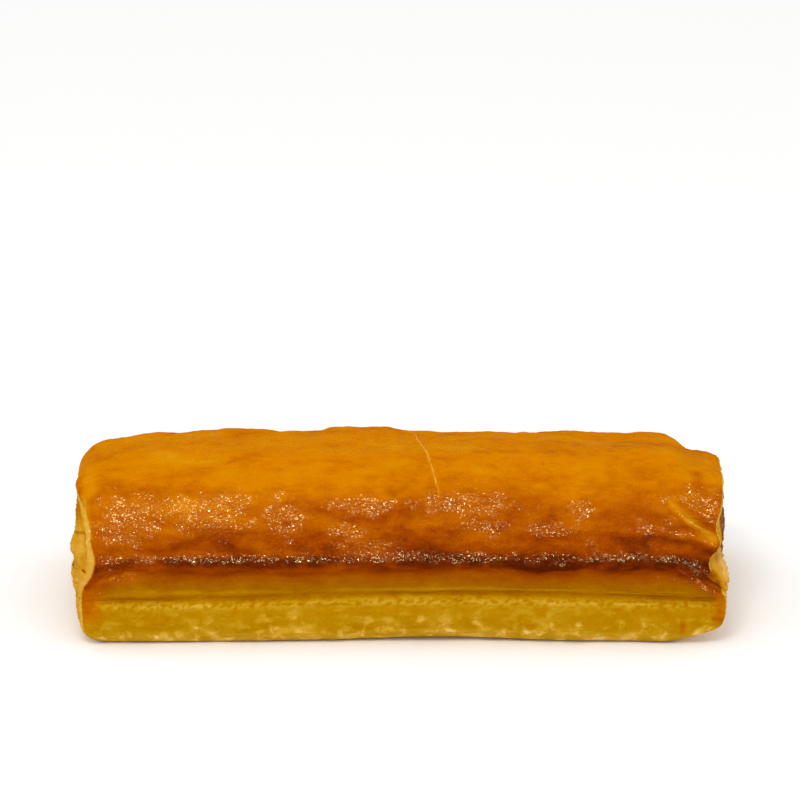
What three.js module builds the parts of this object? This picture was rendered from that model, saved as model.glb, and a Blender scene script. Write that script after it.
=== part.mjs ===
// A baked sausage roll: one sheet of puff pastry folded over a core of minced meat, its two edges
// pressed together into a lip along the front, and both ends cut open.
// X runs along the roll, Y from the lip at the front to the fold at the back, Z up. Millimetres.
import * as THREE from "three";

// Driving dimensions
const LENGTH = 150;
const DEPTH = 61;
const HEIGHT = 36.6;
const LIP_REACH = 9.6; // how far the lip stands out in front of the dome
const LIP_HEIGHT = 15.3;
const SEAM_HEIGHT = 10.9; // where the flap's edge meets the bottom sheet's
const SEAM_DEPTH = 0.9;
const MEAT_WIDTH = 32;
const MEAT_HEIGHT = 21.6;
const MEAT_BASE = 8; // thickness of the bottom sheet under the meat
const MEAT_UNEVENNESS = 0.5;
const MEAT_GAP = 0.35; // clearance between the meat and the pastry

// How far the sheet has moved in baking
const SLUMP_DEPTH = 3.2; // the dome's top, at the right end
const END_DROOP = 1.7; // and how much further it hangs at that end's very edge
const FLAP_SINK = 0.72; // the flap at the ends, as a share of its thickness
const LIP_MIDDLE = 8; // x of the middle of the lip's bow
const LIP_BOW = 1.3;
const FOOT_LIFT = 0.7;
const SEAM_MIDDLE = 14; // x at which the seam rises most
const SEAM_RISE = 1.3;
const FOLD_NOTCH = 1.2; // how far the fold at the right end draws the skin's edge back

// How finely the solids are divided
const COLUMNS_PER_POINT = 3;
const SKIN_ROWS = 50;
const CAP_ROWS = 8;
const THROAT_ROWS = 2;
const MEAT_CAP_ROWS = 5;

// Sizes worked out from the driving ones
const HALF = LENGTH / 2;
const FRONT = -DEPTH / 2;
const BACK = DEPTH / 2;
const DOME_HALF_WIDTH = (DEPTH - LIP_REACH) / 2;
const DOME_Y = BACK - DOME_HALF_WIDTH;
const DOME_FOOT = 12.6; // height at which the dome is widest
const DOME_RISE = HEIGHT - DOME_FOOT;
const DOME_SQUARENESS = 2.2; // 2 is an ellipse, more is squarer
const DOME_RELIEF = 0.26;
const MEAT_Y = DOME_Y - 0.8;
const MEAT_Z = MEAT_BASE + MEAT_HEIGHT / 2;

const { sin, cos, PI, abs, max, min, sign, pow, hypot, atan2, exp, sqrt } = Math;
const clamp = THREE.MathUtils.clamp;
const radians = THREE.MathUtils.degToRad;

// 0 on one side of a stretch and 1 on the other, with a smooth slope between; from may be larger
function smoothstep(from, to, x) {
  const t = clamp((x - from) / (to - from), 0, 1);
  return t * t * (3 - 2 * t);
}

// 1 at the centre, falling off smoothly over the reach
const bump = (x, centre, reach) => exp(-(((x - centre) / reach) ** 2));

// --- Unevenness -----------------------------------------------------------------------------

// A repeatable stream of numbers from 0 to 1
function randomStream(seed) {
  let state = seed;
  return () => {
    state = (state + 0x6d2b79f5) | 0;
    let t = Math.imul(state ^ (state >>> 15), 1 | state);
    t = (t + Math.imul(t ^ (t >>> 7), 61 | t)) ^ t;
    return ((t ^ (t >>> 14)) >>> 0) / 4294967296;
  };
}

// Smooth uneven field from about -1 to 1 over (x, girth), made of crossing waves
function waveField(count, shortest, longest, seed) {
  const random = randomStream(seed);
  const waves = Array.from({ length: count }, () => {
    const heading = random() * PI;
    const number = (2 * PI) / (shortest + (longest - shortest) * random());
    return { along: cos(heading) * number, round: sin(heading) * number, phase: random() * 2 * PI };
  });
  const share = sqrt(2 / count);
  return (x, girth) =>
    share * waves.reduce((sum, w) => sum + sin(w.along * x + w.round * girth + w.phase), 0);
}

const swell = waveField(9, 16, 52, 7); // broad rises and hollows of the baked sheet
const pucker = waveField(9, 7, 15, 21); // smaller unevenness

// --- The roll's outline round its girth -----------------------------------------------------

// What the baked sheet does at an end of the roll: how far short of the full length its browned
// skin stops, how far the pale cut edge swells beyond that, how far the skin curls in towards the
// meat at its edge, and how far it has already sunk there in a longer slope
const endForm = (inset, bulge, curl = 0.5, slope = 0) => ({ inset, bulge, curl, slope });

// A point of the outline. relief is how uneven the skin is there.
function point(y, z, left, right, relief) {
  const ends = Object.keys(left).flatMap((name) => [
    ["left " + name, left[name]],
    ["right " + name, right[name]],
  ]);
  return { y, z, relief, ...Object.fromEntries(ends) };
}

// A point of the dome. Over its top the skin curls down across the left end.
function domePoint(angle) {
  const round = 2 / DOME_SQUARENESS;
  const c = cos(radians(angle));
  const s = sin(radians(angle));
  const over = smoothstep(22, 80, angle) * (1 - smoothstep(110, 168, angle));
  const reach = smoothstep(20, 62, angle) * (1 - smoothstep(110, 168, angle));
  return point(
    DOME_Y - DOME_HALF_WIDTH * sign(c) * pow(abs(c), round),
    DOME_FOOT + DOME_RISE * pow(s, round),
    endForm(4.8 - 4.5 * reach, 3.6 - 3.4 * reach, 1 + 4.4 * over, 4 * over),
    endForm(2.4 - 0.8 * over, 0.6, 0.7 + 0.5 * over, 0.4 * over),
    DOME_RELIEF,
  );
}

function outlinePoints() {
  const underside = (y) => point(y, 0, endForm(5, 3.2), endForm(4, 2.8), 0);
  const dome = [17, 24, 32, 40, 48, 64, 80, 96, 112, 128, 144, 160, 175];
  const crease = FRONT + LIP_REACH;
  return [
    underside(MEAT_Y),
    underside(MEAT_Y - 15),
    point(FRONT + 4.4, 0, endForm(6.4, 1.7), endForm(12, 1.4), 0),
    point(FRONT + 1, 1.3, endForm(4.4, 2.1), endForm(10.6, 1.2), 0.1),
    point(FRONT, 4.3, endForm(3.2, 2.2), endForm(3.2, 1), 0.25),
    point(FRONT + 0.1, SEAM_HEIGHT - 1.5, endForm(3, 2.1), endForm(1.8, 0.7), 0.25),
    point(FRONT + SEAM_DEPTH, SEAM_HEIGHT, endForm(3, 1.7), endForm(2, 1.1), 0.15),
    point(FRONT + 0.5, SEAM_HEIGHT + 1.5, endForm(3, 2.1), endForm(2.1, 1.5), 0.25),
    point(FRONT + 1.7, LIP_HEIGHT - 2.2, endForm(3.1, 2.6, 0.8), endForm(2.6, 1, 0.8), 0.3),
    point(FRONT + 4.6, LIP_HEIGHT - 0.3, endForm(3.5, 2.8, 0.8), endForm(2.8, 0.4, 1), 0.3),
    point(crease - 1.6, LIP_HEIGHT + 0.5, endForm(4.9, 3.4, 0.8), endForm(4.6, 0.2, 1), 0.25),
    point(crease + 0.1, LIP_HEIGHT + 2.6, endForm(5.7, 4.5, 0.8), endForm(5, 0.3, 0.8), 0.3),
    ...dome.map(domePoint),
    point(BACK - 0.7, 6.2, endForm(5, 3.4, 1), endForm(4, 2.6, 1), 0.3),
    point(BACK - 3.2, 1.6, endForm(5, 3.4, 1), endForm(4, 2.8, 1), 0.1),
    point(BACK - 8.5, 0, endForm(5, 3.4), endForm(4, 3), 0),
  ];
}

const OUTLINE = outlinePoints();
const COLUMNS = OUTLINE.length * COLUMNS_PER_POINT;

// Smooth closed curve through one property of the outline's points, at position s in points
function along(property, s) {
  const n = OUTLINE.length;
  const i = Math.floor(s);
  const t = s - i;
  const at = (k) => OUTLINE[(((i + k) % n) + n) % n][property];
  const [a, b, c, d] = [at(-1), at(0), at(1), at(2)];
  return b + 0.5 * t * (c - a + t * (2 * a - 5 * b + 4 * c - d + t * (3 * (b - c) + d - a)));
}

// Every property of the outline at each column, with the girth and the direction from the meat
function outlineColumns() {
  const names = Object.keys(OUTLINE[0]);
  const columns = Array.from({ length: COLUMNS }, (_, j) => {
    const s = j / COLUMNS_PER_POINT;
    return Object.fromEntries(names.map((name) => [name, along(name, s)]));
  });
  let girth = 0;
  columns.forEach((c, j) => {
    const before = columns[(j + COLUMNS - 1) % COLUMNS];
    const after = columns[(j + 1) % COLUMNS];
    const length = hypot(after.y - before.y, after.z - before.z);
    c.z = max(c.z, 0);
    c.outY = -(after.z - before.z) / length;
    c.outZ = (after.y - before.y) / length;
    if (j > 0) girth += hypot(c.y - before.y, c.z - before.z);
    c.girth = girth;
    c.angle = atan2(c.z - DOME_FOOT, DOME_Y - c.y) * (180 / PI); // 0 at the crease, 90 on top
    c["right inset"] += FOLD_NOTCH * bump(c.angle, 26, 8);
  });
  const total = girth + hypot(columns[0].y - columns.at(-1).y, columns[0].z - columns.at(-1).z);
  columns.forEach((c) => {
    const seen = atan2(MEAT_Y - c.y, MEAT_Z - c.z); // 0 is straight down, 90 degrees is the front
    const turned = seen < 0 ? seen + 2 * PI : seen;
    c.meatAngle = 0.6 * turned + 0.4 * ((2 * PI * c.girth) / total);
  });
  return columns;
}

const columns = outlineColumns();
const SEAM_GIRTH = columns.find((c) => c.z >= SEAM_HEIGHT).girth;

// --- The baked sheet's own forms ------------------------------------------------------------

// Puckers and blisters of the dome: a ridge (height above 0) or a groove between two places,
// each given as [x, dome angle in degrees]
const RIDGES = [
  { from: [-60, 12], to: [-46, 24], width: 2.4, height: 0.7 },
  { from: [-46, 24], to: [-33, 28], width: 2.4, height: 0.6 },
  { from: [-64, 30], to: [-50, 40], width: 4, height: 0.4 },
  { from: [-47, 22], to: [-39, 34], width: 2.4, height: 0.35 },
  { from: [-41, 16], to: [-28, 16], width: 2.4, height: 0.4 },
  { from: [-29, 22], to: [-27, 36], width: 2.4, height: 0.6 },
  { from: [-12, 18], to: [-6, 23], width: 2.4, height: 0.5 },
  { from: [-3, 24], to: [3, 36], width: 2.4, height: 0.5 },
  { from: [10, 24], to: [17, 36], width: 2.4, height: 0.6 },
  { from: [25, 12], to: [38, 26], width: 2.4, height: 0.5 },
  { from: [40, 28], to: [41, 40], width: 2.4, height: 0.5 },
  // Rises and dips along the top
  { from: [-56, 103], to: [-52, 110], width: 6, height: -1.2 },
  { from: [-40, 102], to: [-35, 108], width: 5, height: -0.9 },
  { from: [-26, 102], to: [-24, 108], width: 5, height: 0.7 },
  { from: [-14, 102], to: [-4, 106], width: 7, height: 1.5 },
  { from: [0, 103], to: [5, 110], width: 5, height: -0.7 },
  { from: [26, 102], to: [28, 108], width: 4, height: 0.4 },
  { from: [30, 100], to: [58, 100], width: 13, height: -1 },
  // The back
  { from: [-44, 122], to: [-30, 130], width: 6, height: 0.5 },
  { from: [-20, 124], to: [8, 136], width: 5, height: 0.7 },
  { from: [28, 138], to: [44, 130], width: 4, height: 0.6 },
  { from: [-58, 140], to: [-44, 150], width: 4, height: 0.7 },
  { from: [20, 160], to: [34, 148], width: 3.5, height: 0.6 },
  { from: [66, 120], to: [73, 146], width: 3, height: -1.2 },
];
// The fold pressed in by the knife at the right end: lines through places [x, dome angle, height],
// between which the height changes evenly
const FOLDS = [
  // its hollow
  [[61.7, 38, -0.9], [65.4, 30.5, -1.8], [68.4, 25.5, -2.4], [73.5, 20, -2.2]],
  // the brow above the hollow
  [[63.3, 41.5, 0.5], [66, 35.5, 0.9], [72, 25.5, 1.1]],
  // the crest below the hollow
  [[58.5, 25, 0.8], [61, 23.5, 1.4], [67, 22, 2.0], [70.9, 18, 2.2], [74, 15, 2.0]],
];
const FOLD_WIDTH = 2.1;
const MM_PER_DEGREE = 0.42; // along the dome's surface

// Distance in mm from the line between two places, and the share of it at which it is nearest
function offLine(from, to, x, angle) {
  const run = [to[0] - from[0], (to[1] - from[1]) * MM_PER_DEGREE];
  const here = [x - from[0], (angle - from[1]) * MM_PER_DEGREE];
  const share = clamp((here[0] * run[0] + here[1] * run[1]) / hypot(...run) ** 2, 0, 1);
  return { share, away: hypot(here[0] - share * run[0], here[1] - share * run[1]) };
}

function ridgeHeight({ from, to, width, height }, x, angle) {
  return height * exp(-2 * (offLine(from, to, x, angle).away / width) ** 2);
}

function foldHeight(fold, x, angle) {
  let nearest = { away: Infinity };
  for (let k = 1; k < fold.length; k++) {
    const { away, share } = offLine(fold[k - 1], fold[k], x, angle);
    const height = fold[k - 1][2] + (fold[k][2] - fold[k - 1][2]) * share;
    if (away < nearest.away) nearest = { away, height };
  }
  return nearest.height * exp(-2 * (nearest.away / FOLD_WIDTH) ** 2);
}

const onDome = (c) => c.z > LIP_HEIGHT + 1;

// How far the skin stands out from the smooth outline at x
function reliefAt(x, c) {
  const uneven = c.relief * (swell(x, c.girth) + 0.35 * pucker(x, c.girth));
  if (!onDome(c)) return uneven;
  const ridges = RIDGES.reduce((sum, ridge) => sum + ridgeHeight(ridge, x, c.angle), 0);
  return uneven + FOLDS.reduce((sum, fold) => sum + foldHeight(fold, x, c.angle), ridges);
}

// How far the dome's top has slumped where the knife pressed the right end
function slumpAt(x, c) {
  const high = smoothstep(45, 80, c.angle) * (1 - smoothstep(125, 160, c.angle));
  return high * (SLUMP_DEPTH * smoothstep(61.2, 67.6, x) + END_DROOP * smoothstep(64, 74, x));
}

// How far the flap and the crease sink towards the roll's ends, where they were pressed down
function flapSinkAt(x, c) {
  if (c.y > DOME_Y || c.z < SEAM_HEIGHT) return 0;
  const ends = smoothstep(-61, -73, x) + 0.75 * smoothstep(60, 73, x);
  const thickness = min(c.z, LIP_HEIGHT) - SEAM_HEIGHT;
  return FLAP_SINK * ends * thickness * (1 - smoothstep(LIP_HEIGHT - 0.5, LIP_HEIGHT + 6, c.z));
}

// In the middle of its length the lip bows back a little, its foot lifts off and its seam rises
const bowAt = (x, c) => LIP_BOW * bump(x, LIP_MIDDLE, 44) * smoothstep(-12, FRONT + 6, c.y);

function lipRiseAt(x, c) {
  if (c.y > FRONT + LIP_REACH) return 0;
  const low = smoothstep(FRONT + 8, FRONT + 3, c.y) * smoothstep(SEAM_HEIGHT, 1, c.z);
  const foot = FOOT_LIFT * bump(x, LIP_MIDDLE, 20) * low;
  return foot + SEAM_RISE * bump(x, SEAM_MIDDLE, 45) * bump(c.z, SEAM_HEIGHT, 2.6);
}

function skinPoint(x, c, tuck) {
  const out = reliefAt(x, c);
  const y = c.y + c.outY * out + bowAt(x, c);
  const z = c.z + c.outZ * out - slumpAt(x, c) - flapSinkAt(x, c) + lipRiseAt(x, c);
  const share = tuck / hypot(MEAT_Y - y, MEAT_Z - z);
  return new THREE.Vector3(x, y + (MEAT_Y - y) * share, max(z + (MEAT_Z - z) * share, 0));
}

// --- Solids as grids of points --------------------------------------------------------------

// A closed mesh from rings of points; the rings join end to end, or close in a fan at each end
function meshFromRings(rings, endsMeet) {
  const width = rings[0].length;
  const positions = rings.flat().flatMap((p) => [p.x, p.y, p.z]);
  const index = [];
  const corner = (i, j) => (i % rings.length) * width + (j % width);
  const bands = endsMeet ? rings.length : rings.length - 1;
  for (let i = 0; i < bands; i++)
    for (let j = 0; j < width; j++) {
      const [a, b] = [corner(i, j), corner(i, j + 1)];
      const [c, d] = [corner(i + 1, j + 1), corner(i + 1, j)];
      index.push(a, d, b, b, d, c);
    }
  if (!endsMeet) {
    for (const [i, turned] of [[0, false], [rings.length - 1, true]]) {
      const centre = rings[i].reduce((sum, p) => sum.add(p), new THREE.Vector3()).divideScalar(width);
      const hub = positions.push(centre.x, centre.y, centre.z) / 3 - 1;
      for (let j = 0; j < width; j++) {
        const [a, b] = [corner(i, j), corner(i, j + 1)];
        index.push(...(turned ? [a, hub, b] : [a, b, hub]));
      }
    }
  }
  const geometry = new THREE.BufferGeometry();
  geometry.setAttribute("position", new THREE.Float32BufferAttribute(positions, 3));
  geometry.setIndex(index);
  geometry.computeVertexNormals();
  return geometry;
}

// The meat's outline: an ellipse, pushed a little out of shape by the sheet rolled round it
function meatOutline(c, spare) {
  const dents = 0.5 * sin(2 * c.meatAngle + 0.9) + 0.7 * sin(3 * c.meatAngle + 2) + 0.4 * sin(5 * c.meatAngle);
  const uneven = MEAT_UNEVENNESS * dents;
  const a = MEAT_WIDTH / 2 + uneven + spare;
  const b = MEAT_HEIGHT / 2 + uneven + spare;
  return { y: MEAT_Y - a * sin(c.meatAngle), z: MEAT_Z - b * cos(c.meatAngle) };
}

// --- Pastry ---------------------------------------------------------------------------------

// At each end the pale cut edge swells from the browned skin to a mouth. mouth is that opening's
// size as a share of the meat's; behind it the throat widens to the meat, throat deep from the end.
const ENDS = {
  left: { side: "left", sign: -1, mouth: 0.74, mouthInset: 3.2, throat: 6.6, phase: 0.4 },
  right: { side: "right", sign: 1, mouth: 1, mouthInset: 2.8, throat: 4.2, phase: 1.7 },
};
const CURL_RADIUS = 5; // length over which the skin curls in at an end
const SLOPE_LENGTH = 24;
const CAP_LEAN = 0.7; // below 1, the cut edge swells most near the skin
const LEAVES = 3;
const LEAF_DEPTH = 0.2; // how deep the gaps between the baked leaves are, as a share of the bulge
const JOIN_DEPTH = 0.9; // depth of the gap between the flap and the bottom sheet
const JOIN_WIDTH = 1.2;

const atEnd = (end, name, c) => c[end.side + " " + name];
const rimX = (end, c) => end.sign * (HALF - atEnd(end, "inset", c));

// How far the skin has come in towards the meat at a distance from its edge
function tuckAt(end, c, distance) {
  const away = clamp(1 - distance / CURL_RADIUS, 0, 1);
  const slope = clamp(1 - distance / SLOPE_LENGTH, 0, 1);
  const curled = 1 - sqrt(1 - away * away);
  return atEnd(end, "curl", c) * curled + atEnd(end, "slope", c) * slope ** 1.6;
}

// One ring of an end's pale cut edge: share is 0 at the browned skin and 1 at the mouth
function capRing(end, columns, share) {
  const middle = sin(PI * pow(share, CAP_LEAN));
  return columns.map((c) => {
    const rim = skinPoint(rimX(end, c), c, tuckAt(end, c, 0));
    const mouth = mouthPoint(end, c, 0);
    const leaf = LEAF_DEPTH * sin(2 * PI * LEAVES * share + end.phase + c.girth / 23);
    const wobble = 0.1 * swell(c.girth * 1.7, share * 20);
    const swelling = atEnd(end, "bulge", c) * (pow(max(middle, 0), 0.7) + middle * (leaf + wobble));
    const join = JOIN_DEPTH * middle * bump(c.girth, SEAM_GIRTH, JOIN_WIDTH);
    return new THREE.Vector3(
      rim.x + (mouth.x - rim.x) * share + end.sign * (swelling - join),
      rim.y + (mouth.y - rim.y) * share,
      max(rim.z + (mouth.z - rim.z) * share, 0),
    );
  });
}

// A point between the mouth's edge, at depth 0, and the meat's own size inside, at depth 1
function mouthPoint(end, c, depth) {
  const full = meatOutline(c, MEAT_GAP);
  const size = end.mouth + (1 - end.mouth) * depth;
  const inset = end.mouthInset + (end.throat - end.mouthInset) * depth;
  return new THREE.Vector3(
    end.sign * (HALF - inset),
    MEAT_Y + (full.y - MEAT_Y) * size,
    MEAT_Z + (full.z - MEAT_Z) * size,
  );
}

const throatRing = (end, columns, depth) => columns.map((c) => mouthPoint(end, c, depth));

// The browned skin from the left end to the right one, with its rings closer near the ends
function skinRing(columns, row) {
  const share = row / SKIN_ROWS;
  const eased = 0.5 - 0.5 * cos(PI * share);
  const mixed = 0.35 * share + 0.65 * eased;
  return columns.map((c) => {
    const left = rimX(ENDS.left, c);
    const right = rimX(ENDS.right, c);
    const x = left + (right - left) * mixed;
    return skinPoint(x, c, tuckAt(ENDS.left, c, x - left) + tuckAt(ENDS.right, c, right - x));
  });
}

function pastryGeometry(columns) {
  const rings = [];
  for (let k = THROAT_ROWS; k > 0; k--) rings.push(throatRing(ENDS.left, columns, k / THROAT_ROWS));
  for (let k = CAP_ROWS; k > 0; k--) rings.push(capRing(ENDS.left, columns, k / CAP_ROWS));
  for (let row = 0; row <= SKIN_ROWS; row++) rings.push(skinRing(columns, row));
  for (let k = 1; k <= CAP_ROWS; k++) rings.push(capRing(ENDS.right, columns, k / CAP_ROWS));
  for (let k = 1; k <= THROAT_ROWS; k++) rings.push(throatRing(ENDS.right, columns, k / THROAT_ROWS));
  return meshFromRings(rings, true);
}

// --- Meat -----------------------------------------------------------------------------------

const MEAT_LEFT_INSET = 5;
const MEAT_RIGHT_INSET = 0.9;
const MEAT_CROWN = 1.8; // how far the middle of a cut end stands out beyond its edge
const MEAT_CRAGS = 0.5;
const crags = waveField(12, 5, 11, 33);

function meatCapRing(end, inset, columns, share) {
  return columns.map((c) => {
    const edge = meatOutline(c, 0);
    const y = MEAT_Y + (edge.y - MEAT_Y) * share;
    const z = MEAT_Z + (edge.z - MEAT_Z) * share;
    const crown = MEAT_CROWN * sqrt(max(1 - share ** 3, 0));
    const rough = MEAT_CRAGS * crags(y + end.sign * 40, z) * (1 - share ** 6);
    return new THREE.Vector3(end.sign * (HALF - inset - MEAT_CROWN + crown + min(rough, 0.6)), y, z);
  });
}

function meatGeometry(columns) {
  const rings = [];
  for (let k = 1; k <= MEAT_CAP_ROWS; k++)
    rings.push(meatCapRing(ENDS.left, MEAT_LEFT_INSET, columns, k / MEAT_CAP_ROWS));
  for (let k = MEAT_CAP_ROWS; k > 0; k--)
    rings.push(meatCapRing(ENDS.right, MEAT_RIGHT_INSET, columns, k / MEAT_CAP_ROWS));
  return meshFromRings(rings, false);
}

// --- The roll -------------------------------------------------------------------------------

const food = (color, roughness) => new THREE.MeshStandardMaterial({ color, roughness, metalness: 0 });

const pastry = new THREE.Mesh(pastryGeometry(columns), food(0xcf7d0a, 0.35));
pastry.name = "pastry";
const filling = new THREE.Mesh(meatGeometry(columns), food(0x6e3a17, 0.6));
filling.name = "filling";

// The origin is on the underside, in the middle of the roll's box
const placed = new THREE.Group();
placed.add(pastry, filling);
const box = new THREE.Box3().setFromObject(placed);
const middle = box.getCenter(new THREE.Vector3());
placed.position.set(-middle.x, -middle.y, -box.min.z);

const sausageRoll = new THREE.Group();
sausageRoll.add(placed);

export default sausageRoll;
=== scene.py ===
"""Looks of a baked sausage roll: glossy egg-washed puff pastry round a core of minced meat.

The large forms repeat the CAD source's formulas on a much finer grid. Finer relief, browning with
some painted shade and highlight, and gloss are worked out for each vertex, and the materials add what is
finer still.
Shapes are in millimetres until a mesh is made, with X along the roll and the lip towards -Y.
"""
import math

import bpy
import numpy as np
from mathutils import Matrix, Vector, noise


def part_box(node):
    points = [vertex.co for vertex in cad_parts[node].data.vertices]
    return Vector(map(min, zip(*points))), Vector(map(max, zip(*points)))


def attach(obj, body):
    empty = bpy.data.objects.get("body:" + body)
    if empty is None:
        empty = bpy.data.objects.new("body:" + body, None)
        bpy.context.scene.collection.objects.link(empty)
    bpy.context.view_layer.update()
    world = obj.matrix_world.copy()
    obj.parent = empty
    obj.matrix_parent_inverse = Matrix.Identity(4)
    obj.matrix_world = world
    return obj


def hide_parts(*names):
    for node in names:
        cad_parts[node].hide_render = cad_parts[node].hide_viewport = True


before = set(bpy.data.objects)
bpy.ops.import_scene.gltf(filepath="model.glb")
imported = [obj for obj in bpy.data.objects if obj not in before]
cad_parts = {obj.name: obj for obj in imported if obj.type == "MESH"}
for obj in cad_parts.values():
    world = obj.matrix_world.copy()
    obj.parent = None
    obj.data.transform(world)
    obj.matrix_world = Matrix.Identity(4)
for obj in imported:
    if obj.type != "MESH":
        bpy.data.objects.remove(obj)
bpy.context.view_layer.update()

MM = 0.001

# --- Driving dimensions, as in the CAD source -------------------------------------------------
LENGTH = 150
DEPTH = 61
HEIGHT = 36.6
LIP_REACH = 9.6
LIP_HEIGHT = 15.3
SEAM_HEIGHT = 10.9
SEAM_DEPTH = 0.9
MEAT_WIDTH = 32
MEAT_HEIGHT = 21.6
MEAT_BASE = 8
MEAT_UNEVENNESS = 0.5
MEAT_GAP = 0.2  # the CAD source leaves 0.35
SLUMP_DEPTH = 3.2
END_DROOP = 1.7
FLAP_SINK = 0.72
RIGHT_FLAP_SHARE = 0.75  # of the flap's sinking, at the right end
LIP_MIDDLE = 8
LIP_BOW = 1.3
FOOT_LIFT = 0.7
SEAM_MIDDLE = 14
SEAM_RISE = 1.3

HALF = LENGTH / 2
FRONT = -DEPTH / 2
BACK = DEPTH / 2
DOME_HALF_WIDTH = (DEPTH - LIP_REACH) / 2
DOME_Y = BACK - DOME_HALF_WIDTH
DOME_FOOT = 12.6
DOME_RISE = HEIGHT - DOME_FOOT
DOME_SQUARENESS = 2.2
DOME_RELIEF = 0.26
PUCKER_SHARE = 0.35  # of the relief, in the smaller waves
FOLD_NOTCH = 1.2
FOLD_NOTCH_ANGLE = 26
FOLD_NOTCH_REACH = 8
MEAT_Y = DOME_Y - 0.8
MEAT_Z = MEAT_BASE + MEAT_HEIGHT / 2

# --- How finely the meshes are divided --------------------------------------------------------
COLUMNS_PER_POINT = 13
SKIN_ROWS = 320
CAP_ROWS = 44
THROAT_ROWS = 5
MEAT_CAP_ROWS = 46
MEAT_SIDE_ROWS = 6


# --- Small tools ------------------------------------------------------------------------------
def smoothstep(start, stop, x):
    """0 on one side of a stretch and 1 on the other; start may be the larger."""
    t = np.clip((x - start) / (stop - start), 0, 1)
    return t * t * (3 - 2 * t)


def bump(x, centre, reach):
    """1 at the centre, falling off smoothly over the reach."""
    return np.exp(-(((x - centre) / reach) ** 2))


def mix(a, b, share):
    return a + (b - a) * share


def random_stream(seed):
    """The same repeatable stream of numbers from 0 to 1 as the CAD source's."""
    word = 0xFFFFFFFF
    state = seed
    while True:
        state = (state + 0x6D2B79F5) & word
        t = ((state ^ (state >> 15)) * (1 | state)) & word
        t = ((t + (((t ^ (t >> 7)) * (61 | t)) & word)) & word) ^ t
        yield (t ^ (t >> 14)) / 4294967296


def wave_field(count, shortest, longest, seed):
    """Smooth uneven field from about -1 to 1 over (x, girth), made of crossing waves."""
    stream = random_stream(seed)
    waves = []
    for _ in range(count):
        heading = next(stream) * math.pi
        number = 2 * math.pi / (shortest + (longest - shortest) * next(stream))
        waves.append((math.cos(heading) * number, math.sin(heading) * number, next(stream) * 2 * math.pi))

    def field(x, girth):
        total = sum(np.sin(along * x + round_ * girth + phase) for along, round_, phase in waves)
        return math.sqrt(2 / count) * total

    return field


swell = wave_field(9, 16, 52, 7)
pucker = wave_field(9, 7, 15, 21)


def fractal(points, sizes, octaves, seed):
    """Perlin noise of the points, about -1 to 1; sizes are the lumps' lengths along X, Y and Z."""
    shape = points.shape[:-1]
    scaled = (points.reshape(-1, 3) / np.array(sizes) + np.array([17.3, 5.1, -9.7]) * seed).tolist()
    values = [noise.fractal(p, 1.0, 2.0, octaves) for p in scaled]
    return np.array(values).reshape(shape)


# --- The roll's outline round its girth -------------------------------------------------------
def end_form(inset, bulge, curl=0.5, slope=0.0):
    """How far in an end's rim lies, how far its cut edge swells, and how the skin turns down to it."""
    return [inset, bulge, curl, slope]


def point(y, z, left, right, relief, bake, gloss):
    """bake is how browned the skin is, from 0 to 1, and gloss how much egg wash lies on it."""
    return [y, z, *left, *right, relief, bake, gloss]


NAMES = ["y", "z", "left_inset", "left_bulge", "left_curl", "left_slope",
         "right_inset", "right_bulge", "right_curl", "right_slope", "relief", "bake", "gloss"]

# Browning over the dome, from the crease at 0 degrees over the top at 90 to the back
DOME_BAKE = {17: 0.74, 24: 0.69, 32: 0.67, 40: 0.64, 48: 0.60, 64: 0.51, 80: 0.47, 96: 0.47,
             112: 0.52, 128: 0.55, 144: 0.58, 160: 0.57, 175: 0.48}


def dome_point(angle):
    turn = 2 / DOME_SQUARENESS
    c, s = math.cos(math.radians(angle)), math.sin(math.radians(angle))
    over = float(smoothstep(22, 80, angle) * (1 - smoothstep(110, 168, angle)))
    reach = float(smoothstep(20, 62, angle) * (1 - smoothstep(110, 168, angle)))
    return point(
        DOME_Y - DOME_HALF_WIDTH * math.copysign(abs(c) ** turn, c),
        DOME_FOOT + DOME_RISE * s ** turn,
        end_form(4.8 - 4.5 * reach, 3.6 - 3.4 * reach, 1 + 4.4 * over, 4 * over),
        end_form(2.4 - 0.8 * over, 0.6, 0.7 + 0.5 * over, 0.4 * over),
        DOME_RELIEF, DOME_BAKE[angle], 1.0,
    )


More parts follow.
